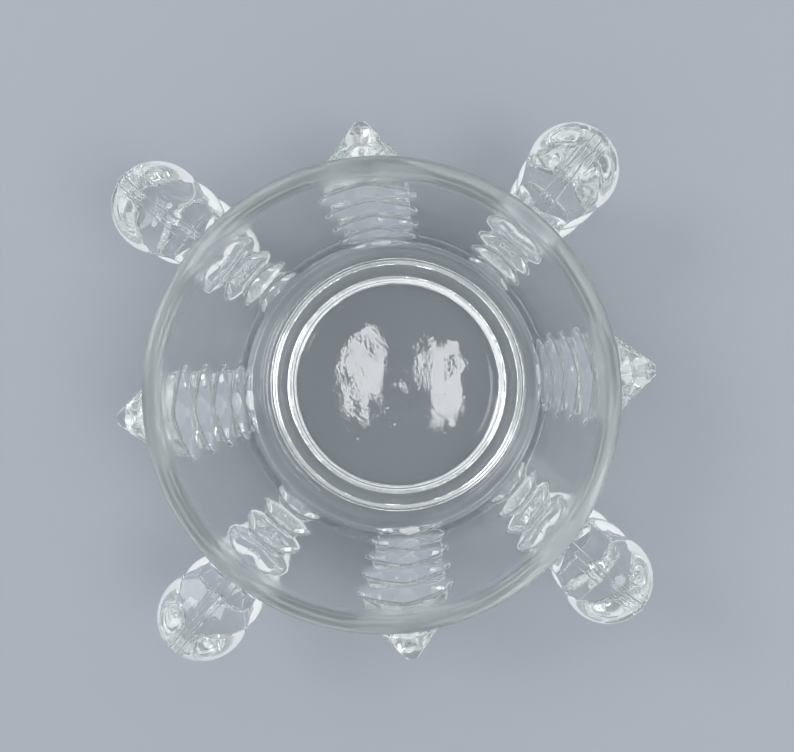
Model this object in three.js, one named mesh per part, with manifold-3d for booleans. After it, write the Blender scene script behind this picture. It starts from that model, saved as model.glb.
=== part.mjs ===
// A round footed bowl of clear pressed glass. Four lugs built of beads, each topped by a ball,
// and four pointed lugs built of teeth stand round the outside of its wall.
// Millimetres, +Z up. The origin is on the table, under the middle of the bowl.
import * as THREE from "three";
import { ConvexGeometry } from "three/addons/geometries/ConvexGeometry.js";
import { mergeVertices } from "three/addons/utils/BufferGeometryUtils.js";
import Module from "manifold-3d";

const wasm = await Module();
wasm.setup();

// Bowl: the wall and the rim
const rimRadius = 75;
const rimHeight = 76;
const wallThickness = 7.4;
const crownSetback = 5.2;
const wallFlare = 14.5;
const flareExponent = 1.2;
const shoulderHeight = 22;

// Bowl: the base inside and outside
const floorEdgeRadius = 49.6;
const floorEdgeHeight = 13;
const floorDish = 1.2;
const seatRadius = 52.3;
const undersideDome = 1;

// Foot ring
const footHeight = 5;
const footSetback = 3.4;
const footWidth = 10.3;
const footOuterSlope = 2.6;
const footInnerSlope = 3.8;
const footEdgeRound = 0.8;

// Both kinds of lug
const lugsOfEachKind = 4;
const lugClearance = 0.3;

// Ball lugs: a ball on a stack of flattened beads, each held to the wall by a flat oval neck
const beadTierCount = 4;
const ballDrop = 17.5;
const bottomBeadRise = 14.8;
const beadOverlap = 1.2;
const beadUpperShare = 0.54;
const ballRise = 12;
const ballRadius = 15;
const topBeadRadius = 14.4;
const bottomBeadRadius = 12.8;
const neckLength = 9.5;
const neckRootShare = 0.66;
const ballWaistShare = 0.63;
const beadWaistShare = 0.38;
const neckRise = 5;
const neckFall = 3.9;
const ballNeckGrowth = 1.5;
const beadNeckGrowth = 0.8;

// Pointed lugs: a stack of teeth, V-shaped in plan and lens-shaped in section
const toothCount = 5;
const toothDrop = 19.9;
const bottomToothRise = 7.5;
const toothUpperShare = 0.32;
const toothOverlap = 0.7;
const toothReach = 20;
const toothHalfAngle = 40;
const toothHalfSpan = 12.5;
const toothTipRound = 3.6;
const toothLand = 1;
const frontSlopeLength = 9.2;

// Facet counts
const bowlSegments = 64;
const wallSteps = 6;
const baseSteps = 5;
const rimSteps = 6;
const beadSegments = 18;
const beadRings = 10;
const neckSegments = 16;
const lensSteps = 8;
const tipSteps = 6;

// Sizes worked out from the ones above
const rimCentreHeight = rimHeight - wallThickness / 2;
const innerRimRadius = rimRadius - wallThickness;
const innerShoulderRadius = innerRimRadius - wallFlare;
const outerShoulderRadius = rimRadius - wallFlare;
const footOuterRadius = seatRadius - footSetback;
const footInnerRadius = footOuterRadius - footWidth;
const beadPitch = (rimHeight - ballDrop - footHeight - bottomBeadRise) / (beadTierCount - 1);
const toothPitch = (rimHeight - toothDrop - footHeight - bottomToothRise) / (toothCount - 1);
const halfAngle = THREE.MathUtils.degToRad(toothHalfAngle);

const glass = { color: 0xdfe8e4, roughness: 0.04, metalness: 0, transparent: true, opacity: 0.45 };

// How far the wall has flared outwards at a height: a power curve from the shoulder to the rim.
function flareAt(height) {
  const along = (height - shoulderHeight) / (rimCentreHeight - shoulderHeight);
  return wallFlare * Math.pow(Math.max(along, 0), flareExponent);
}

// Outer radius of the bowl at a height: the flared wall above the shoulder, a quarter ellipse below.
function outerRadius(height) {
  if (height >= shoulderHeight) return outerShoulderRadius + flareAt(height);
  const below = Math.min((shoulderHeight - height) / (shoulderHeight - footHeight), 1);
  return seatRadius + (outerShoulderRadius - seatRadius) * Math.sqrt(1 - below * below);
}

// Points of a quarter ellipse that leaves the floor level and meets the wall upright.
function baseCurve(floorRadius, floorHeight, wallRadius) {
  const curve = new THREE.EllipseCurve(
    floorRadius,
    shoulderHeight,
    wallRadius - floorRadius,
    shoulderHeight - floorHeight,
    -Math.PI / 2,
    0,
    false,
  );
  return curve.getPoints(baseSteps);
}

// Points up the flared wall, from the shoulder to the middle of the rounded rim.
function wallCurve(radiusAtShoulder) {
  return Array.from({ length: wallSteps }, (_, i) => {
    const height = THREE.MathUtils.lerp(shoulderHeight, rimCentreHeight, (i + 1) / wallSteps);
    return new THREE.Vector2(radiusAtShoulder + flareAt(height), height);
  });
}

// Points of one side of the rounded rim: a quarter ellipse between the wall and the rim's crown.
function rimCurve(halfWidth, startAngle, endAngle) {
  const curve = new THREE.EllipseCurve(
    rimRadius - crownSetback,
    rimCentreHeight,
    halfWidth,
    rimHeight - rimCentreHeight,
    startAngle,
    endAngle,
    false,
  );
  return curve.getPoints(rimSteps / 2);
}

// A solid of revolution about +Z from points of (radius, height).
function turned(points) {
  const geometry = new THREE.LatheGeometry(points, bowlSegments);
  geometry.rotateX(Math.PI / 2);
  return geometry;
}

// A closed geometry as a solid that can be joined and cut.
function solid(geometry) {
  const bare = geometry.index ? geometry.toNonIndexed() : geometry.clone();
  bare.deleteAttribute("normal");
  bare.deleteAttribute("uv");
  const merged = mergeVertices(bare, 1e-4);
  return new wasm.Manifold(
    new wasm.Mesh({
      numProp: 3,
      vertProperties: new Float32Array(merged.attributes.position.array),
      triVerts: new Uint32Array(merged.index.array),
    }),
  );
}

// A solid turned back into geometry for a mesh.
function geometryOf(made) {
  const mesh = made.getMesh();
  const geometry = new THREE.BufferGeometry();
  geometry.setAttribute("position", new THREE.BufferAttribute(mesh.vertProperties, 3));
  geometry.setIndex(new THREE.BufferAttribute(mesh.triVerts, 1));
  geometry.computeVertexNormals();
  return geometry;
}

// A named mesh with a material of its own.
function glassMesh(name, geometry) {
  const mesh = new THREE.Mesh(geometry, new THREE.MeshStandardMaterial(glass));
  mesh.name = name;
  return mesh;
}

// Bowl: one turned section, up the outside, over the round rim, down the inside and across the floor.
function bowlGeometry() {
  const underside = new THREE.QuadraticBezierCurve(
    new THREE.Vector2(0, footHeight + undersideDome),
    new THREE.Vector2(footInnerRadius / 2, footHeight + undersideDome),
    new THREE.Vector2(footInnerRadius, footHeight),
  );
  const floor = new THREE.QuadraticBezierCurve(
    new THREE.Vector2(floorEdgeRadius, floorEdgeHeight),
    new THREE.Vector2(floorEdgeRadius / 2, floorEdgeHeight - floorDish),
    new THREE.Vector2(0, floorEdgeHeight - floorDish),
  );
  return turned([
    ...underside.getPoints(3),
    ...baseCurve(seatRadius, footHeight, outerShoulderRadius),
    ...wallCurve(outerShoulderRadius),
    ...rimCurve(crownSetback, 0, Math.PI / 2).slice(1),
    ...rimCurve(wallThickness - crownSetback, Math.PI / 2, Math.PI).slice(1, -1),
    ...wallCurve(innerShoulderRadius).reverse(),
    ...baseCurve(floorEdgeRadius, floorEdgeHeight, innerShoulderRadius).reverse(),
    ...floor.getPoints(3).slice(1),
  ]);
}

// Foot ring: a tapering ring under the bowl, with its two standing edges rounded.
function footGeometry() {
  const path = new THREE.Path();
  const outerStand = footOuterRadius - footOuterSlope;
  const innerStand = footInnerRadius + footInnerSlope;
  const outerSide = new THREE.Vector2(footOuterSlope, footHeight).setLength(footEdgeRound);
  const innerSide = new THREE.Vector2(footInnerSlope, footHeight).setLength(footEdgeRound);
  path.moveTo(innerStand + footEdgeRound, 0);
  path.lineTo(outerStand - footEdgeRound, 0);
  path.quadraticCurveTo(outerStand, 0, outerStand + outerSide.x, outerSide.y);
  path.lineTo(footOuterRadius, footHeight);
  path.lineTo(footInnerRadius, footHeight);
  path.lineTo(innerStand - innerSide.x, innerSide.y);
  path.quadraticCurveTo(innerStand, 0, innerStand + footEdgeRound, 0);
  return turned(path.getPoints(3));
}

// Everything within the bowl's outside, grown by the clearance that the lugs keep to the wall.
function wallCutter() {
  const outside = [
    ...baseCurve(seatRadius, footHeight, outerShoulderRadius),
    ...wallCurve(outerShoulderRadius),
  ].map((p) => new THREE.Vector2(p.x + lugClearance, p.y - lugClearance));
  const lowest = outside[0];
  const highest = outside[outside.length - 1];
  const above = rimHeight + 2 * ballRadius;
  return solid(
    turned([
      new THREE.Vector2(0, lowest.y),
      ...outside,
      new THREE.Vector2(highest.x, above),
      new THREE.Vector2(0, above),
    ]),
  );
}

// Sizes of each tier of a ball lug: the ball first, then the beads.
function beadTiers() {
  const thickness = beadPitch + beadOverlap;
  return Array.from({ length: beadTierCount }, (_, tier) => {
    const isBall = tier === 0;
    const beadShare = (tier - 1) / (beadTierCount - 2);
    const beadRadius = THREE.MathUtils.lerp(topBeadRadius, bottomBeadRadius, beadShare);
    const radius = isBall ? ballRadius : beadRadius;
    const height = rimHeight - ballDrop - tier * beadPitch;
    const wall = outerRadius(height);
    const distance = wall + neckLength + radius;
    const waist = (isBall ? ballWaistShare : beadWaistShare) * radius;
    return {
      radius,
      height,
      wall,
      distance,
      waist,
      waistDistance: distance - Math.sqrt(radius * radius - waist * waist),
      growth: isBall ? ballNeckGrowth : beadNeckGrowth,
      above: isBall ? ballRise : beadUpperShare * thickness,
      below: (1 - beadUpperShare) * thickness,
    };
  });
}

// Bead of one tier: half an ellipse turned about the bead's own upright axis.
function beadGeometry(tier) {
  const profile = Array.from({ length: beadRings + 1 }, (_, i) => {
    const angle = Math.PI * (i / beadRings - 0.5);
    const tall = angle < 0 ? tier.below : tier.above;
    const inRound = i > 0 && i < beadRings;
    return new THREE.Vector2(inRound ? tier.radius * Math.cos(angle) : 0, tall * Math.sin(angle));
  });
  const bead = new THREE.LatheGeometry(profile, beadSegments);
  bead.rotateX(Math.PI / 2);
  bead.translate(tier.distance, 0, tier.height);
  return bead;
}

// Points of an upright oval at a distance from the axis, with its own size above and below.
function ovalPoints(distance, height, halfWidth, above, below) {
  return Array.from({ length: neckSegments }, (_, i) => {
    const angle = (2 * Math.PI * i) / neckSegments;
    const tall = Math.sin(angle) > 0 ? above : below;
    const y = halfWidth * Math.cos(angle);
    return new THREE.Vector3(distance, y, height + tall * Math.sin(angle));
  });
}

// Neck of one tier: the hull of an oval inside the wall, one at the wall, the waist and the bead.
function neckGeometry(tier) {
  const root = neckRootShare * tier.radius;
  const rise = neckRise * tier.growth;
  const fall = neckFall * tier.growth;
  return new ConvexGeometry([
    ...ovalPoints(tier.wall - wallThickness, tier.height, root, neckRise, neckFall),
    ...ovalPoints(tier.wall, tier.height, root, neckRise, neckFall),
    ...ovalPoints(tier.waistDistance, tier.height, tier.waist, rise, fall),
    new THREE.Vector3(tier.distance, 0, tier.height),
  ]);
}

// Ball lug: ball, beads and necks joined into one solid and cut to the wall. It points along +X.
function ballLugSolid(cutter) {
  const pieces = beadTiers().flatMap((tier) => [solid(beadGeometry(tier)), solid(neckGeometry(tier))]);
  return pieces.reduce((made, piece) => made.add(piece)).subtract(cutter);
}

// Points of a tooth's lens-shaped section at a distance from the axis.
function lensPoints(distance, height, halfWidth, above, below) {
  return Array.from({ length: lensSteps + 1 }, (_, i) => THREE.MathUtils.lerp(-1, 1, i / lensSteps)).flatMap(
    (aside) => {
      const full = 1 - aside * aside;
      const upper = THREE.MathUtils.lerp(toothLand / 2, above, full);
      const lower = THREE.MathUtils.lerp(toothLand / 2, below, full);
      return [
        new THREE.Vector3(distance, aside * halfWidth, height + upper),
        new THREE.Vector3(distance, aside * halfWidth, height - lower),
      ];
    },
  );
}

// One tooth along +X: the hull of its rounded tip, the section where it has its full height, and
// a root that runs straight back into the wall.
function toothGeometry(height) {
  const wall = outerRadius(height);
  const tip = wall + toothReach;
  const rootHalf = wall * Math.sin(THREE.MathUtils.degToRad(toothHalfSpan));
  const apex = tip + toothTipRound * (1 / Math.sin(halfAngle) - 1);
  const rootDistance = apex - rootHalf / Math.tan(halfAngle);
  const frontDistance = tip - frontSlopeLength;
  const frontHalf = (apex - frontDistance) * Math.tan(halfAngle);
  const above = toothUpperShare * toothPitch + toothOverlap / 2;
  const below = (1 - toothUpperShare) * toothPitch + toothOverlap / 2;
  const points = [
    ...lensPoints(frontDistance, height, frontHalf, above, below),
    ...lensPoints(rootDistance, height, rootHalf, above, below),
    ...lensPoints(wall - wallThickness, height, rootHalf, above, below),
  ];
  for (let i = 0; i <= tipSteps; i += 1) {
    const turn = THREE.MathUtils.lerp(-1, 1, i / tipSteps) * (Math.PI / 2 - halfAngle);
    const x = tip - toothTipRound + toothTipRound * Math.cos(turn);
    const y = toothTipRound * Math.sin(turn);
    points.push(new THREE.Vector3(x, y, height + toothLand / 2));
    points.push(new THREE.Vector3(x, y, height - toothLand / 2));
  }
  return new ConvexGeometry(points);
}

// Pointed lug: its teeth joined into one solid and cut to the wall. It points along +X.
function pointedLugSolid(cutter) {
  const teeth = Array.from({ length: toothCount }, (_, tier) =>
    solid(toothGeometry(rimHeight - toothDrop - tier * toothPitch)),
  );
  return teeth.reduce((made, tooth) => made.add(tooth)).subtract(cutter);
}

// Four copies of a lug round the bowl, each in a turned group of its own.
function lugsRound(name, made, firstAngle) {
  const ring = new THREE.Group();
  for (let i = 0; i < lugsOfEachKind; i += 1) {
    const place = new THREE.Group();
    place.rotation.z = firstAngle + (i * 2 * Math.PI) / lugsOfEachKind;
    place.add(glassMesh(`${name}_${i + 1}`, geometryOf(made)));
    ring.add(place);
  }
  return ring;
}

const bowl = new THREE.Group();
const cutter = wallCutter();
bowl.add(glassMesh("bowl_body", bowlGeometry()));
bowl.add(glassMesh("foot_ring", footGeometry()));
bowl.add(lugsRound("pointed_lug", pointedLugSolid(cutter), 0));
bowl.add(lugsRound("ball_lug", ballLugSolid(cutter), Math.PI / lugsOfEachKind));

export default bowl;
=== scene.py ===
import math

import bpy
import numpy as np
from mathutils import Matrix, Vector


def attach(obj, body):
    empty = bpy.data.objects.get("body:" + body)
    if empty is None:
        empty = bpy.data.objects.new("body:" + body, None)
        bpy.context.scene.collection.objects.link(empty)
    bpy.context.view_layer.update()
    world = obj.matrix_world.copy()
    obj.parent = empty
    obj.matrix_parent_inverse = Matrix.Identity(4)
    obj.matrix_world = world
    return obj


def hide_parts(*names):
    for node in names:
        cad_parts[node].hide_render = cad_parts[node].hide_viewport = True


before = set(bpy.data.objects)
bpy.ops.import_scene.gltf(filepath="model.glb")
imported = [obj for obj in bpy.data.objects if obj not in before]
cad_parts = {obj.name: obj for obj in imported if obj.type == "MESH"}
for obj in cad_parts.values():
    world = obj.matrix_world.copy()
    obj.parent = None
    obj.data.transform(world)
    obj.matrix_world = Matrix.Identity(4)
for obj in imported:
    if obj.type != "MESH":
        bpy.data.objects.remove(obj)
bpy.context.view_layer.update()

# %% [markdown]
# # A footed bowl of clear pressed glass
# A pressed bowl is made in one squeeze: a plunger drives hot glass into an iron mould, and the wall,
# the foot ring and the eight lugs come out as one piece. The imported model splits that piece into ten
# solids, so that each form can be used again. Clear glass shows every boundary inside it, even
# a hairline one, so ten glass meshes would show a dark skin wherever a lug meets the wall.
#
# This script therefore makes the bowl once more as the single skin that the real one has. It fills
# space with one function that is negative in the glass and positive in the air, and lays a mesh
# where the function is zero. Forms that are joined in such a function melt into each other with
# small fillets, which is how glass leaves a mould.

MILLIMETRE = 0.001

# %% [markdown]
# ## The sizes of the bowl
# All sizes are in millimetres, and the wall, the base, the foot and the ball lugs have the ones that
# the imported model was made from. The teeth differ a little, as the cell on them says. The bowl stands
# on z = 0, and its middle is the z axis.

# %% Sizes of the wall, the base and the foot
rim_radius, rim_height, wall_thickness = 75.0, 76.0, 7.4
wall_flare, flare_exponent, shoulder_height = 14.5, 1.2, 22.0
crown_setback = 5.2
floor_edge_radius, floor_edge_height, floor_dish = 49.6, 13.0, 1.2
seat_radius, underside_dome = 52.3, 1.0
foot_height, foot_setback, foot_width = 5.0, 3.4, 10.3
foot_outer_slope, foot_inner_slope = 2.6, 3.8

rim_centre_height = rim_height - wall_thickness / 2
outer_shoulder = rim_radius - wall_flare
inner_shoulder = outer_shoulder - wall_thickness
foot_outer = seat_radius - foot_setback
foot_inner = foot_outer - foot_width
print("foot ring from", foot_inner, "to", foot_outer, "mm")


# %% Outside of the wall at a height
def flare_at(z):
    """How far the wall has flared out at height z: a power curve from the shoulder to the rim."""
    along = np.clip((z - shoulder_height) / (rim_centre_height - shoulder_height), 0, None)
    return wall_flare * along**flare_exponent


def outer_radius(z):
    """Outer radius at height z: the flared wall, and below the shoulder a quarter ellipse."""
    below = np.clip((shoulder_height - z) / (shoulder_height - foot_height), 0, 1)
    base = seat_radius + (outer_shoulder - seat_radius) * np.sqrt(1 - below**2)
    return np.where(z >= shoulder_height, outer_shoulder + flare_at(z), base)


print("outer radius at the rim:", float(outer_radius(np.array(rim_centre_height))))

# %% [markdown]
# ## The turned part: wall, floor and foot ring
# The bowl without its lugs is a lathe form: one closed outline of (radius, height) that turns
# about z. A lathe mesh would do, but here the outline becomes a table of signed distances: how far
# each point of a fine grid is from the outline, counted negative inside it. A smooth lookup in that
# table then gives the turned form as a function that the lugs can be joined to.


# %% Outline of the turned part
def bowl_outline():
    """Closed outline: under the foot, up the outside, over the rim, down the inside, to the axis."""
    quarter = np.linspace(0, math.pi / 2, 24)
    up = np.linspace(shoulder_height, rim_centre_height, 40)[1:]
    inwards = np.linspace(0, 1, 12)
    foot = np.array([
        (0, foot_height + underside_dome),
        (foot_inner * 0.5, foot_height + underside_dome * 0.75),
        (foot_inner - 1.2, foot_height + 0.05),
        (foot_inner, foot_height - 0.35),
        (foot_inner + 1.2, foot_height - 1.6),
        (foot_inner + foot_inner_slope - 0.3, 0.5),
        (foot_inner + foot_inner_slope + 0.6, 0),
        (foot_outer - foot_outer_slope - 0.6, 0),
        (foot_outer - foot_outer_slope + 0.3, 0.6),
        (foot_outer - 0.3, foot_height - 0.5),
        (foot_outer + 0.5, foot_height),
    ])
    base_rise = shoulder_height - foot_height
    floor_rise = shoulder_height - floor_edge_height
    outer_base = np.c_[
        seat_radius + (outer_shoulder - seat_radius) * np.sin(quarter),
        shoulder_height - base_rise * np.cos(quarter),
    ]
    outer_wall = np.c_[outer_shoulder + flare_at(up), up]
    crown_rise = rim_height - rim_centre_height
    crown_radius = rim_radius - crown_setback
    rim_out = np.c_[
        crown_radius + crown_setback * np.cos(quarter[1:]),
        rim_centre_height + crown_rise * np.sin(quarter[1:]),
    ]
    rim_in = np.c_[
        crown_radius - (wall_thickness - crown_setback) * np.sin(quarter[1:]),
        rim_centre_height + crown_rise * np.cos(quarter[1:]),
    ]
    inner_wall = np.c_[inner_shoulder + flare_at(up), up][::-1][1:]
    inner_base = np.c_[
        floor_edge_radius + (inner_shoulder - floor_edge_radius) * np.sin(quarter),
        shoulder_height - floor_rise * np.cos(quarter),
    ][::-1]
    floor = np.c_[
        floor_edge_radius * (1 - inwards),
        floor_edge_height - floor_dish * (1 - (1 - inwards) ** 2),
    ][1:]
    return np.vstack([foot, outer_base, outer_wall, rim_out, rim_in, inner_wall, inner_base, floor])


outline = bowl_outline()
print("outline:", len(outline), "points, highest", outline[:, 1].max().round(2), "mm")

# %% Signed distances to the outline
TABLE_STEP = 0.5
TABLE_LOW = np.array([-4.0, -6.0])
TABLE_HIGH = np.array([112.0, 92.0])


def distance_table(points):
    """Distance from each grid point to the nearest edge of the outline and of its mirror image,
    negative where a line towards the axis crosses the outline an odd number of times."""
    loop = np.vstack([points, points[::-1] * (-1, 1)])
    r = np.arange(TABLE_LOW[0], TABLE_HIGH[0], TABLE_STEP)
    z = np.arange(TABLE_LOW[1], TABLE_HIGH[1], TABLE_STEP)
    grid = np.stack(np.meshgrid(r, z, indexing="ij"), axis=-1)
    nearest = np.full(grid.shape[:2], np.inf)
    inside = np.zeros(grid.shape[:2], bool)
    for start, end in zip(loop, np.roll(loop, -1, axis=0)):
        edge = end - start
        if edge @ edge < 1e-9:
            continue
        share = np.clip(((grid - start) @ edge) / (edge @ edge), 0, 1)
        away = grid - start - share[..., None] * edge
        nearest = np.minimum(nearest, (away**2).sum(-1))
        if edge[1] != 0:
            beside = (grid[..., 1] >= min(start[1], end[1])) & (grid[..., 1] < max(start[1], end[1]))
            crossing = start[0] + (grid[..., 1] - start[1]) / edge[1] * edge[0]
            inside ^= beside & (grid[..., 0] < crossing)
    return np.sqrt(nearest) * np.where(inside, -1, 1)


def blurred(values, passes):
    """The table with each value shared out over its neighbours in the ratio 1, 4, 6, 4, 1. That
    leaves a flat face where it is, and rounds an edge as the flame does that finishes the glass."""
    shares = np.array([1, 4, 6, 4, 1]) / 16
    for _ in range(passes):
        for axis in (0, 1):
            wide = np.pad(values, [(2, 2) if a == axis else (0, 0) for a in (0, 1)], mode="edge")
            count = values.shape[axis]
            parts = [share * np.take(wide, range(k, k + count), axis) for k, share in enumerate(shares)]
            values = sum(parts)
    return values


table = blurred(distance_table(outline), 3)
print("distance table:", table.shape, "deepest", table.min().round(2), "mm")


# %% Smooth lookup in the table
def cubic_weights(t):
    """Weights of four neighbouring values for a smooth curve through them, at share t."""
    return (
        -0.5 * t**3 + t**2 - 0.5 * t,
        1.5 * t**3 - 2.5 * t**2 + 1,
        -1.5 * t**3 + 2 * t**2 + 0.5 * t,
        0.5 * t**3 - 0.5 * t**2,
    )


def turned_field(r, z):
    """Distance to the turned part at radius r and height z, from the sixteen table values round it."""
    u = np.clip((r - TABLE_LOW[0]) / TABLE_STEP, 1, table.shape[0] - 3.001)
    v = np.clip((z - TABLE_LOW[1]) / TABLE_STEP, 1, table.shape[1] - 3.001)
    i, j = u.astype(int), v.astype(int)
    along_r, along_z = cubic_weights(u - i), cubic_weights(v - j)
    total = 0
    for m in range(4):
        for n in range(4):
            total = total + along_r[m] * along_z[n] * table[i + m - 1, j + n - 1]
    return total


mid_wall = np.array([outer_shoulder - wall_thickness / 2])
print("in the wall:", turned_field(mid_wall, np.array([shoulder_height])).round(2), "mm")

# %% [markdown]
# ## Joining and repeating
# Two forms are joined by taking the smaller of their two values at each point, and what they share
# is left by taking the larger. If the change from one to the other is eased over a few millimetres,
# the crease between them becomes a fillet. The lugs repeat every quarter turn, so a point is turned
# back into the first quarter before it is measured, and one lug stands for four.


# %% Eased joins and quarter turns
def joined(a, b, ease):
    """The smaller of a and b, rounded off where the two differ by less than ease."""
    share = np.clip(0.5 + 0.5 * (b - a) / ease, 0, 1)
    return b * (1 - share) + a * share - ease * share * (1 - share)


def shared(a, b, ease):
    """The larger of a and b, rounded off in the same way."""
    return -joined(-a, -b, ease)


def turned_back(x, y, first_angle):
    """(outwards, sideways) from the nearest of four lugs, the first of which is at first_angle."""
    quarter_turn = math.pi / 2
    angle = np.arctan2(y, x) - first_angle
    angle = angle - np.round(angle / quarter_turn) * quarter_turn
    r = np.hypot(x, y)
    return r * np.cos(angle), r * np.sin(angle)


print("two forms 1 mm away, joined:", joined(np.array(1.0), np.array(1.0), 2.0))

# %% [markdown]
# ## Ball lugs
# Each ball lug is a ball above three flattened beads. They are taken to be flat, because from above
# white light comes round both sides of the ball, and it would hardly do so if the ball were sunk deep
# in the bead below. A flat oval neck holds each of them to the wall. It narrows towards a bead,
# grows towards the ball, and melts into both with a fillet. The mould's seam is a low ridge that
# runs over all of it, along the middle, and stands out as a nick in the outline.

# %% Sizes of the ball lugs
bead_tiers, ball_drop, bottom_bead_rise = 4, 17.5, 14.8
bead_overlap, bead_upper_share, ball_rise = 1.2, 0.54, 12.0
ball_size, top_bead_size, bottom_bead_size = 15.0, 14.4, 12.8
neck_length, neck_rise, neck_fall, neck_root_share = 9.5, 5.0, 3.9, 0.66
ball_waist_share, ball_neck_growth, ball_fillet = 0.63, 1.5, 5.0
bead_waist_share, bead_neck_growth, bead_fillet = 0.38, 0.8, 3.0
seam_rise, seam_spread = 0.4, 1.5
neck_into_wall, neck_into_bead, tier_fillet = 6.0, 3.0, 2.0
neck_before, neck_beyond = -0.6, 1.4
bead_pitch = (rim_height - ball_drop - foot_height - bottom_bead_rise) / (bead_tiers - 1)
print("beads are", round(bead_pitch, 2), "mm apart")


# %% One ball lug
def oval_distance(across, up, half_width, tall):
    """How far a point is from an oval: k (k - 1) / slope of k, where k is 1 on the oval itself."""
    k = np.hypot(across / half_width, up / tall)
    slope = np.hypot(across / half_width**2, up / tall**2)
    return np.maximum(k, 1e-6) * (k - 1) / np.maximum(slope, 1e-6 / half_width)


def ball_lug_field(x, y, z):
    """A ball and three beads, each an oval turned about its upright axis, on a neck whose oval
    section changes evenly from the wall to the place where it enters the bead."""
    lug = np.inf
    thickness = bead_pitch + bead_overlap
    for tier in range(bead_tiers):
        is_ball = tier == 0
        height = rim_height - ball_drop - tier * bead_pitch
        bead_size = np.interp(tier, (1, bead_tiers - 1), (top_bead_size, bottom_bead_size))
        size = ball_size if is_ball else bead_size
        upper = ball_rise if is_ball else bead_upper_share * thickness
        waist = (ball_waist_share if is_ball else bead_waist_share) * size
        growth = ball_neck_growth if is_ball else bead_neck_growth
        wall = float(outer_radius(np.array(height)))
        centre = wall + neck_length + size
        back = centre - math.sqrt(size**2 - waist**2)
        up = z - height
        tall = np.where(up > 0, upper, (1 - bead_upper_share) * thickness)
        bead = oval_distance(np.hypot(x - centre, y), up, size, tall)
        along = np.clip((x - wall) / (back - wall), neck_before, neck_beyond)
        half_width = neck_root_share * size * (1 - along) + waist * along
        neck_tall = np.where(up > 0, neck_rise, neck_fall) * (1 + (growth - 1) * along)
        neck = oval_distance(y, up, half_width, neck_tall)
        ends = np.maximum(x - back - neck_into_bead, wall - neck_into_wall - x)
        neck = np.maximum(neck, ends)
        held = joined(bead, neck, ball_fillet if is_ball else bead_fillet)
        lug = held if is_ball else joined(lug, held, tier_fillet)
    return lug - seam_rise * np.exp(-((y / seam_spread) ** 2))


print("middle of a ball:", ball_lug_field(*np.array([[95.0], [0.0], [58.5]])).round(1), "mm")

# %% [markdown]
# ## Pointed lugs
# Each pointed lug is a stack of five teeth. Seen from above, a tooth is a V with a rounded point. Its
# section is a gable above the edge and an arch below it, and it keeps its full height from the wall
# until 9 mm before the point. From there both sides slope to the edge, and make a prism that
# shines. There is air between the teeth: light that meets an underside from within the glass
# at a low angle cannot leave there, and is thrown back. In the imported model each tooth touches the
# next, with its edge higher up and 1 mm thick, so that a lug is one solid. The 2 mm of air is not
# measured: a gap narrower than the cubes of the net below came out as black pockets.

# %% Sizes of the pointed lugs
tooth_count, tooth_drop, bottom_tooth_rise = 5, 19.9, 7.5
tooth_upper_share, tooth_gap, tooth_land, ridge_round = 0.5, 2.0, 1.2, 0.06
tooth_reach, tooth_tip_round, front_slope_length = 20.0, 3.6, 9.2
tooth_half_angle, tooth_half_span = math.radians(40), math.radians(12.5)
tooth_into_wall, root_ease, edge_ease, tooth_fillet = 6.0, 2.0, 0.8, 1.8
gable_steepness, arch_steepness = 0.85, 0.75
tooth_pitch = (rim_height - tooth_drop - foot_height - bottom_tooth_rise) / (tooth_count - 1)
print("teeth are", round(tooth_pitch, 2), "mm apart")


# %% One pointed lug
def tooth_half_width(x, tip, root_half):
    """Half the width of the V at distance x: an arc at the point, then straight sides, eased into
    the width that the tooth has at the wall."""
    arc_centre = tip - tooth_tip_round
    apex = arc_centre + tooth_tip_round / math.sin(tooth_half_angle)
    arc = np.sqrt(np.clip(tooth_tip_round**2 - (x - arc_centre) ** 2, 1e-4, None))
    on_arc = x > arc_centre + tooth_tip_round * math.sin(tooth_half_angle)
    width = np.where(on_arc, arc, (apex - x) * math.tan(tooth_half_angle))
    return np.maximum(joined(width, root_half, root_ease), 0.01)


def pointed_lug_field(x, y, z):
    """Five teeth. Above the edge a tooth is as high as full height times 1 - |y| / width, rounded
    off at the ridge, and below the edge as deep as full depth times 1 - (y / width)^2. Both are
    scaled down, because on a slope the difference in height is more than the distance."""
    lug = np.inf
    edge = tooth_land / 2
    for tier in range(tooth_count):
        height = rim_height - tooth_drop - tier * tooth_pitch
        wall = float(outer_radius(np.array(height)))
        tip = wall + tooth_reach
        width = tooth_half_width(x, tip, wall * math.sin(tooth_half_span))
        front = np.clip((tip - x) / front_slope_length, 0, 1)
        gable = np.clip(1 - np.hypot(y / width, ridge_round), -1, None) * front
        arch = np.clip(1 - (y / width) ** 2, -1, None) * front
        above = tooth_upper_share * tooth_pitch - tooth_gap / 2
        below = (1 - tooth_upper_share) * tooth_pitch - tooth_gap / 2
        over = (z - height - edge - (above - edge) * gable) * gable_steepness
        under = (height - z - edge - (below - edge) * arch) * arch_steepness
        beside = (np.abs(y) - width) * math.cos(tooth_half_angle)
        tooth = shared(shared(over, under, edge_ease), beside, edge_ease)
        tooth = np.maximum(tooth, np.maximum(wall - tooth_into_wall - x, x - tip))
        lug = tooth if tier == 0 else joined(lug, tooth, tooth_fillet)
    return lug


print("inside a tooth:", pointed_lug_field(*np.array([[80.0], [0.0], [57.0]])).round(1), "mm")


# %% [markdown]
# ## The whole bowl as one function
# The lugs stop a little way inside the wall, so that nothing of them reaches the inside of the bowl.

# %% Glass or air
lug_fillet = 2.5


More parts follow.
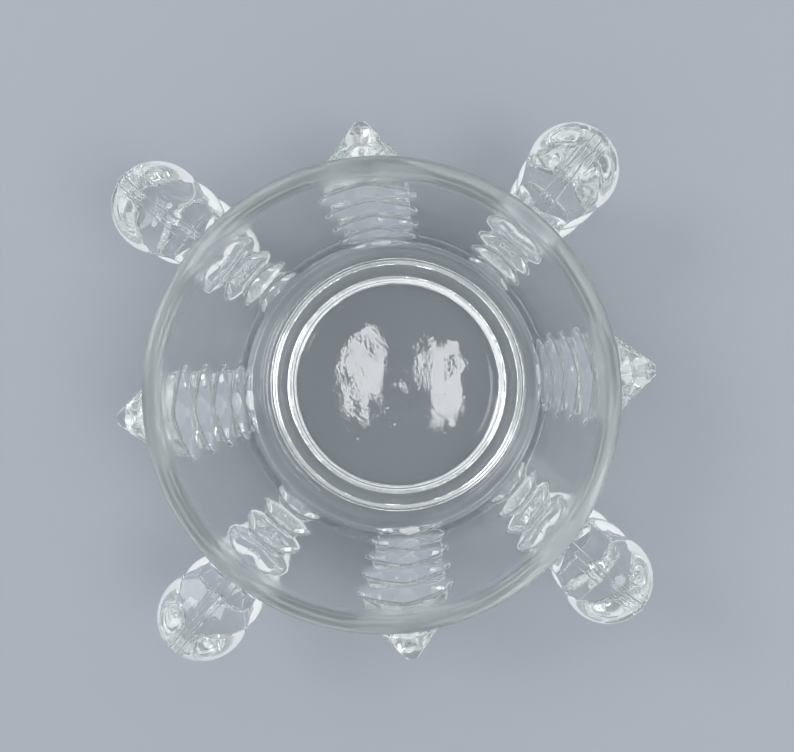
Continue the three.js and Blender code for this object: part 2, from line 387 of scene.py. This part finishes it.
def glass_field(x, y, z):
    """Negative in glass: the turned part joined to the lugs, which are cut off inside the wall."""
    r = np.hypot(x, y)
    ball_lugs = ball_lug_field(*turned_back(x, y, math.pi / 4), z)
    pointed_lugs = pointed_lug_field(*turned_back(x, y, 0), z)
    lugs = np.minimum(ball_lugs, pointed_lugs)
    lugs = np.maximum(lugs, outer_radius(z) - wall_thickness / 2 - r)
    return joined(turned_field(r, z), lugs, lug_fillet)


def field_slope(points, step=0.02):
    """Direction in which the function grows fastest, from its values a small step either side."""
    slope = np.empty_like(points)
    for axis in range(3):
        aside = np.zeros(3)
        aside[axis] = step
        rise = glass_field(*(points + aside).T) - glass_field(*(points - aside).T)
        slope[:, axis] = rise / (2 * step)
    return slope


print("in the floor:", glass_field(*np.array([[0.0], [0.0], [9.0]])).round(1), "mm")

# %% [markdown]
# ## Laying a mesh where the function is zero
# The space round the bowl is cut into small cubes. A cube that has glass at some corners and air at
# others gets one vertex, in the middle of the points where its edges cross the surface. Each grid
# edge that crosses the surface has four such cubes round it, and their vertices make one face. This
# is known as surface nets. The vertices then slide along the slope of the function towards the place
# where it is zero, which leaves the skin smooth, and within a tenth of a millimetre of the function.
# A point sharper than the cubes falls a little short. In a tight corner two sheets of the net can
# end up sharing an edge. The size of the cubes and the height of the lowest are ones at which
# none do, which the count below confirms: every edge has two faces.


# %% Vertices and faces of the net
def surface_net(low, high, step):
    """One vertex per mixed cube and one four-sided face per crossed grid edge, facing the air."""
    axes = [np.arange(a, b + step, step) for a, b in zip(low, high)]
    values = glass_field(*np.meshgrid(*axes, indexing="ij"))
    glass_here = values < 0
    counts = [len(a) for a in axes]
    corners = np.zeros([n - 1 for n in counts], np.int8)
    for offset in np.ndindex(2, 2, 2):
        corners += glass_here[tuple(slice(o, n - 1 + o) for o, n in zip(offset, counts))]
    mixed = (corners > 0) & (corners < 8)
    number = np.full(mixed.shape, -1)
    number[mixed] = np.arange(mixed.sum())
    cubes = np.argwhere(mixed)
    total, crossings = np.zeros((len(cubes), 3)), np.zeros(len(cubes))
    for axis in range(3):
        along = np.eye(3, dtype=int)[axis]
        for side in np.ndindex(2, 2):
            offset = np.insert(side, axis, 0)
            first = values[tuple((cubes + offset).T)]
            second = values[tuple((cubes + offset + along).T)]
            crossed = (first < 0) != (second < 0)
            share = np.where(crossed, first / np.where(crossed, first - second, 1), 0)
            total += crossed[:, None] * (offset + share[:, None] * along)
            crossings += crossed
    vertices = np.array(low) + step * (cubes + total / crossings[:, None])
    faces = []
    for axis in range(3):
        near = glass_here[tuple(slice(0, -1) if a == axis else slice(None) for a in range(3))]
        far = glass_here[tuple(slice(1, None) if a == axis else slice(None) for a in range(3))]
        edges = np.argwhere(near != far)
        b, c = np.eye(3, dtype=int)[(axis + 1) % 3], np.eye(3, dtype=int)[(axis + 2) % 3]
        ring = np.stack([number[tuple((edges - d).T)] for d in (b + c, c, 0 * b, b)], axis=1)
        backwards = ~near[tuple(edges.T)]
        ring[backwards] = ring[backwards][:, ::-1]
        faces.append(ring)
    return vertices, np.vstack(faces)


NET_STEP, NET_LOW, NET_HIGH = 1.315, -2.65, 79.0
NET_HALF_COUNT = 73.5
NET_REACH = NET_HALF_COUNT * NET_STEP
net_low, net_high = (-NET_REACH, -NET_REACH, NET_LOW), (NET_REACH, NET_REACH, NET_HIGH)
vertices, faces = surface_net(net_low, net_high, NET_STEP)
print("net:", len(vertices), "vertices and", len(faces), "four-sided faces")

edges = np.sort(np.vstack([faces[:, [k, (k + 1) % 4]] for k in range(4)]), axis=1)
faces_per_edge = np.unique(edges[:, 0] * len(vertices) + edges[:, 1], return_counts=True)[1]
print("faces at an edge: from", faces_per_edge.min(), "to", faces_per_edge.max())


# %% Slide the vertices onto the surface
def onto_surface(points):
    """Moves each point along the slope by its value over the slope's length, which ends near zero."""
    slope = field_slope(points)
    return points - (glass_field(*points.T) / (slope**2).sum(1))[:, None] * slope


def evened(points, rings):
    """Moves each point halfway to the mean of its neighbours, which evens out the faces."""
    total, count = np.zeros_like(points), np.zeros(len(points))
    for corner in range(4):
        here, there = rings[:, corner], rings[:, (corner + 1) % 4]
        np.add.at(total, here, points[there])
        np.add.at(count, here, 1)
    return (points + total / count[:, None]) / 2


for _ in range(3):
    vertices = onto_surface(vertices)
for _ in range(2):
    vertices = onto_surface(evened(vertices, faces))
vertices[:, 2] = np.maximum(vertices[:, 2], 0)
normals = field_slope(vertices)
normals /= np.linalg.norm(normals, axis=1)[:, None]
print("furthest from the surface:", np.abs(glass_field(*vertices.T)).max().round(4), "mm")

# %% [markdown]
# ## The mesh
# The slope of the function is also the direction that the skin faces, so it goes in as the shading
# normal. Glass bends light by that direction, and one that comes from the function, not from the
# faces, keeps the reflections calm on a mesh of modest size.

# %% Pressed glass bowl
bowl_mesh = bpy.data.meshes.new("pressed_glass_bowl")
bowl_mesh.from_pydata((vertices * MILLIMETRE).tolist(), [], faces.tolist())
bowl_mesh.update()
bowl_mesh.shade_smooth()
bowl_mesh.normals_split_custom_set_from_vertices(normals.tolist())
bowl = bpy.data.objects.new("pressed_glass_bowl", bowl_mesh)
bpy.context.scene.collection.objects.link(bowl)
print("bowl:", 2 * len(faces), "triangles,", bowl.dimensions[:])

# %% [markdown]
# ## Clear glass
# Clear glass has no paint. What shows is how much light it bends, how much it takes up where it is
# thick, and how smooth its skin is. The tint is a faint grey-green that grows with thickness, so it
# sits in the volume. The skin of pressed glass is never quite flat: it cooled against iron, so it
# has slow waves, and years of use leave fine marks, most of all on the rim, which is softly worn.
# Each ball lug also has the mould's seam running over it, a low band of fine ridges, where two
# halves of the mould met. It fans out towards the wall. The middle of the floor is finely stippled,
# which breaks up the lamps it mirrors.


# %% Small helpers for material nodes
def add_node(tree, kind, inputs=None, **settings):
    """A node of that kind, with plain values or links put into its named or numbered inputs."""
    node = tree.nodes.new(kind)
    for name, value in settings.items():
        setattr(node, name, value)
    for name, value in (inputs or {}).items():
        if isinstance(value, bpy.types.NodeSocket):
            tree.links.new(value, node.inputs[name])
        else:
            node.inputs[name].default_value = value
    return node


def sum_of(tree, operation, first, second=0.0):
    """The result of one arithmetic operation on two values or links."""
    node = add_node(tree, "ShaderNodeMath", {0: first, 1: second}, operation=operation)
    return node.outputs[0]


def ramp_between(tree, value, low, high, low_result=0.0, high_result=1.0):
    """An eased change from low_result to high_result as value goes from low to high."""
    inputs = {"Value": value, "From Min": low, "From Max": high}
    inputs |= {"To Min": low_result, "To Max": high_result}
    node = add_node(tree, "ShaderNodeMapRange", inputs, interpolation_type="SMOOTHSTEP")
    return node.outputs["Result"]


# %% Glass material
SEAM_HALF_WIDTH, SEAM_EDGE, SEAM_HEIGHT = 0.0013, 0.0004, 0.00035
SEAM_LINE_PITCH, SEAM_LINE_SHARE, SEAM_FAN = 0.0011, 0.14, 0.6
RIM_WEAR, WAVE_HEIGHT, STIPPLE_HEIGHT = 0.28, 0.00012, 0.00001
WEAR_LOW, WEAR_HIGH, WEAR_RADIUS, WEAR_END = 0.067, 0.0725, 0.0755, 0.0775
SEAM_START, SEAM_FULL, FAN_START, FAN_END = 0.0745, 0.0765, 0.080, 0.098
STIPPLE_RADIUS, STIPPLE_END = 0.020, 0.034

glass = bpy.data.materials.new("clear_pressed_glass")
glass.use_nodes = True
tree = glass.node_tree
shader = tree.nodes["Principled BSDF"]
shader.inputs["Base Color"].default_value = (0.98, 0.99, 0.985, 1)
shader.inputs["IOR"].default_value = 1.52
shader.inputs["Transmission Weight"].default_value = 1.0
place = add_node(tree, "ShaderNodeTexCoord").outputs["Object"]
axes = add_node(tree, "ShaderNodeSeparateXYZ", {"Vector": place})
x, y = axes.outputs["X"], axes.outputs["Y"]

marks = add_node(tree, "ShaderNodeTexNoise", {"Vector": place, "Scale": 220.0, "Detail": 4.0})
scratches = ramp_between(tree, marks.outputs[0], 0.5, 0.8, 0.0, 0.05)
squares = sum_of(tree, "ADD", sum_of(tree, "POWER", x, 2.0), sum_of(tree, "POWER", y, 2.0))
from_axis = sum_of(tree, "SQRT", squares)
wear = ramp_between(tree, axes.outputs["Z"], WEAR_LOW, WEAR_HIGH, 0.0, RIM_WEAR)
on_rim = ramp_between(tree, from_axis, WEAR_RADIUS, WEAR_END, 1.0, 0.0)
wear = sum_of(tree, "MULTIPLY", wear, on_rim)
roughness = sum_of(tree, "MAXIMUM", scratches, wear)
tree.links.new(roughness, shader.inputs["Roughness"])

first_diagonal = sum_of(tree, "ABSOLUTE", sum_of(tree, "SUBTRACT", x, y))
second_diagonal = sum_of(tree, "ABSOLUTE", sum_of(tree, "ADD", x, y))
aside = sum_of(tree, "MINIMUM", first_diagonal, second_diagonal)
aside = sum_of(tree, "DIVIDE", aside, math.sqrt(2))
fan = ramp_between(tree, from_axis, FAN_START, FAN_END, SEAM_FAN, 1.0)
aside = sum_of(tree, "MULTIPLY", aside, fan)
seam = ramp_between(tree, aside, SEAM_HALF_WIDTH, SEAM_HALF_WIDTH + SEAM_EDGE, 1.0, 0.0)
lines = sum_of(tree, "COSINE", sum_of(tree, "MULTIPLY", aside, 2 * math.pi / SEAM_LINE_PITCH))
lines = ramp_between(tree, lines, -1.0, 1.0, 1.0 - SEAM_LINE_SHARE, 1.0)
seam = sum_of(tree, "MULTIPLY", seam, lines)
on_lug = ramp_between(tree, from_axis, SEAM_START, SEAM_FULL)
seam = sum_of(tree, "MULTIPLY", seam, on_lug)
waves = add_node(tree, "ShaderNodeTexNoise", {"Vector": place, "Scale": 70.0, "Detail": 1.0})
stipple = add_node(tree, "ShaderNodeTexNoise", {"Vector": place, "Scale": 650.0, "Detail": 2.0})
on_floor = ramp_between(tree, from_axis, STIPPLE_RADIUS, STIPPLE_END, 1.0, 0.0)
stipple = sum_of(tree, "MULTIPLY", stipple.outputs[0], on_floor)


def bump(height, distance, before=None):
    """Tilts the skin as if it rose by distance where height is 1, on top of the bump before it."""
    inputs = {"Height": height, "Distance": distance, "Strength": 1.0}
    if before is not None:
        inputs["Normal"] = before
    return add_node(tree, "ShaderNodeBump", inputs).outputs[0]


skin = bump(seam, SEAM_HEIGHT)
skin = bump(waves.outputs[0], WAVE_HEIGHT, skin)
skin = bump(stipple, STIPPLE_HEIGHT, skin)
tree.links.new(skin, shader.inputs["Normal"])

tint = add_node(tree, "ShaderNodeVolumeAbsorption", {"Color": (0.62, 0.74, 0.68, 1), "Density": 3.5})
tree.links.new(tint.outputs[0], tree.nodes["Material Output"].inputs["Volume"])
bowl_mesh.materials.append(glass)
print("glass nodes:", len(tree.nodes))

# %% Put the piece in the frame
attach(bowl, "root")
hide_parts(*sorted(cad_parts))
print("stands for", len(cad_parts), "solids of the packed model")

# %% [markdown]
# ## Camera
# The photograph looks almost straight down, from a little to the right and behind. The rim's radius,
# the middle of the rim and the bowl's turn come from the outlines measured in it, in pixels. The focal
# length, the point that the lens faced and the point straight below the lens were chosen, together
# with the bowl's height. The picture alone does not settle them: focal lengths from 800 to 1400 pixels
# fitted about equally well. With this choice the balls and the points of the teeth come within about 5
# pixels of where the picture has them.

# %% Camera that agrees with the picture
FRAME_WIDTH, FRAME_HEIGHT, SENSOR_WIDTH = 794, 752, 36.0
FOCAL_LENGTH, RIM_RADIUS_SEEN = 920.0, 240.4
FACED_X, FACED_Y = 464.0, 379.0
BELOW_X, BELOW_Y = 464.0, 330.0
RIM_X, RIM_Y = 382.0, 398.2
BOWL_TURN = math.radians(5.3)


def picture_ray(across, down):
    """Direction through a point of the picture, in camera axes: x right, y up, z backwards."""
    return np.array([(across - FACED_X) / FOCAL_LENGTH, (FACED_Y - down) / FOCAL_LENGTH, -1.0])


world_up = -picture_ray(BELOW_X, BELOW_Y)
world_up /= np.linalg.norm(world_up)
world_x = np.array([math.cos(BOWL_TURN), math.sin(BOWL_TURN), 0.0])
world_x -= world_x @ world_up * world_up
world_x /= np.linalg.norm(world_x)
to_world = np.stack([world_x, np.cross(world_up, world_x), world_up])
rim_depth = FOCAL_LENGTH * rim_radius / RIM_RADIUS_SEEN
camera_place = (0, 0, rim_centre_height) - to_world @ picture_ray(RIM_X, RIM_Y) * rim_depth

camera_data = bpy.data.cameras.new("camera")
camera_data.sensor_width = SENSOR_WIDTH
camera_data.lens = FOCAL_LENGTH / FRAME_WIDTH * SENSOR_WIDTH
camera_data.shift_x = (FRAME_WIDTH / 2 - FACED_X) / FRAME_WIDTH
camera_data.shift_y = (FACED_Y - FRAME_HEIGHT / 2) / FRAME_WIDTH
camera = bpy.data.objects.new("camera", camera_data)
pose = np.eye(4)
pose[:3, :3] = to_world
pose[:3, 3] = camera_place * MILLIMETRE
camera.matrix_world = Matrix(pose.tolist())
bpy.context.scene.collection.objects.link(camera)
bpy.context.scene.camera = camera
print("camera at", camera_place.round(1), "mm, lens", round(camera_data.lens, 2), "mm")

# %% [markdown]
# ## Floor, backdrop and light
# Clear glass is seen by what it bends. A plain pale floor keeps it calm, and a room that is lighter
# at eye level than overhead draws the bright edges. Two soft lamps above add the highlights.

# %% Pale floor
FLOOR_HALF, FLOOR_DROP = 6.0, 0.0001
floor_mesh = bpy.data.meshes.new("floor")
floor_mesh.from_pydata(
    [
        (-FLOOR_HALF, -FLOOR_HALF, -FLOOR_DROP),
        (FLOOR_HALF, -FLOOR_HALF, -FLOOR_DROP),
        (FLOOR_HALF, FLOOR_HALF, -FLOOR_DROP),
        (-FLOOR_HALF, FLOOR_HALF, -FLOOR_DROP),
    ],
    [],
    [(0, 1, 2, 3)],
)
floor = bpy.data.objects.new("floor", floor_mesh)
bpy.context.scene.collection.objects.link(floor)
paper = bpy.data.materials.new("pale_paper")
paper.use_nodes = True
paper_shader = paper.node_tree.nodes["Principled BSDF"]
paper_shader.inputs["Base Color"].default_value = (0.46, 0.50, 0.55, 1)
paper_shader.inputs["Roughness"].default_value = 0.85
floor_mesh.materials.append(paper)
print("floor:", 2 * FLOOR_HALF, "m square")

# %% Soft room light
world = bpy.data.worlds.new("soft_room")
world.use_nodes = True
bpy.context.scene.world = world
room = world.node_tree
direction = add_node(room, "ShaderNodeTexCoord").outputs["Generated"]
upwards = add_node(room, "ShaderNodeSeparateXYZ", {"Vector": direction}).outputs["Z"]
strength = ramp_between(room, upwards, 0.15, 0.9, 1.0, 0.55)
background = room.nodes["Background"]
background.inputs["Color"].default_value = (0.91, 0.935, 0.97, 1)
room.links.new(strength, background.inputs["Strength"])
print("room light nodes:", len(room.nodes))


# %% Two soft lamps
def soft_lamp(name, place, size, brightness):
    """A square lamp that faces the bowl, whose surface has that brightness."""
    data = bpy.data.lights.new(name, "AREA")
    data.size = size
    data.energy = brightness * math.pi * size**2
    lamp = bpy.data.objects.new(name, data)
    lamp.location = place
    lamp.rotation_euler = (Vector((0, 0, 0.03)) - Vector(place)).to_track_quat("-Z", "Y").to_euler()
    bpy.context.scene.collection.objects.link(lamp)
    return lamp


soft_lamp("left_lamp", (-0.55, 0.40, 0.85), 0.36, 4.2)
soft_lamp("right_lamp", (0.40, -0.15, 0.9), 0.36, 4.2)

# %% [markdown]
# The dished floor of the bowl is also a shallow mirror. Two narrow lamps hang where it throws them
# back to the lens, and show as the two bright patches left and right of the middle of the floor.

# %% Two narrow lamps that the floor of the bowl mirrors
PATCH_PLACES = {"left_strip": (362.0, 374.0), "right_strip": (446.0, 384.0)}
STRIP_WIDTH, STRIP_LENGTH, STRIP_HEIGHT, STRIP_BRIGHTNESS = 0.022, 0.065, 900.0, 8.0


def mirrored_place(across, down):
    """Where a lamp must hang, to show at that point of the picture by reflection in the floor."""
    ray = to_world @ picture_ray(across, down)
    level = floor_edge_height - floor_dish
    point = camera_place + ray * (level - camera_place[2]) / ray[2]
    normal = np.array([*(-2 * floor_dish / floor_edge_radius**2 * point[:2]), 1.0])
    normal /= np.linalg.norm(normal)
    bounced = ray - 2 * (ray @ normal) * normal
    return point + bounced * (STRIP_HEIGHT - point[2]) / bounced[2]


for name, seen_at in PATCH_PLACES.items():
    strip = bpy.data.lights.new(name, "AREA")
    strip.shape = "ELLIPSE"
    strip.size, strip.size_y = STRIP_WIDTH, STRIP_LENGTH
    strip.energy = STRIP_BRIGHTNESS * math.pi * STRIP_WIDTH * STRIP_LENGTH
    lamp = bpy.data.objects.new(name, strip)
    lamp.location = mirrored_place(*seen_at) * MILLIMETRE
    bpy.context.scene.collection.objects.link(lamp)
    print(name, "hangs at", [round(v, 3) for v in lamp.location])

# %% Colours shown as they are, and enough bounces for clear glass
bpy.context.scene.view_settings.view_transform = "Standard"
cycles = bpy.context.scene.cycles
cycles.max_bounces = cycles.transmission_bounces = cycles.glossy_bounces = 64
